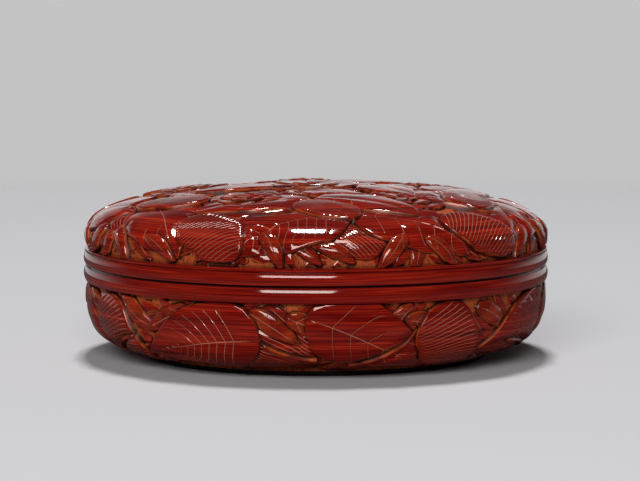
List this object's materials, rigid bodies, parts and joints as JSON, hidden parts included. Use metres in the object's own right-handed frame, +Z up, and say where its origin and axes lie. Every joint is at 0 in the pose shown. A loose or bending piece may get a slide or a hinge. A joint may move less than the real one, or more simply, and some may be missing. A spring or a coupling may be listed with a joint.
{
  "type": "carved lacquer round box",
  "caption": "Round lidded box with a low dome and a bellied base, carved all over in layered red lacquer, with a lift-off lid guided by an inner collar.",
  "frame": {"origin": "on the surface the box stands on, under its middle", "axes": "+Z up along the box's axis, and +Y away from the picture's camera; the box is round about +Z"},
  "size_m": [0.24, 0.24, 0.0887],
  "materials": {
    "carved_lacquer": "gloss",
    "black_lacquer": "gloss",
    "core_wood": "matte"
  },
  "bodies": {
    "base": {"base_carved_coat": "carved_lacquer", "base_bottom_board": "core_wood", "base_hoop_1": "core_wood", "base_hoop_2": "core_wood", "base_hoop_3": "core_wood", "base_lining": "black_lacquer", "collar_hoop": "black_lacquer", "foot_hoop": "black_lacquer", "underside_coat": "black_lacquer"},
    "lid": {"lid_carved_coat": "carved_lacquer", "lid_top_board": "core_wood", "lid_hoop_1": "core_wood", "lid_hoop_2": "core_wood", "lid_hoop_3": "core_wood", "lid_lining": "black_lacquer"}
  },
  "joints": [
    {"name": "lid_lift", "type": "slide", "parent": "base", "child": "lid", "axis": [0, 0, 1], "range_m": [0, 0.08]}
  ]
}
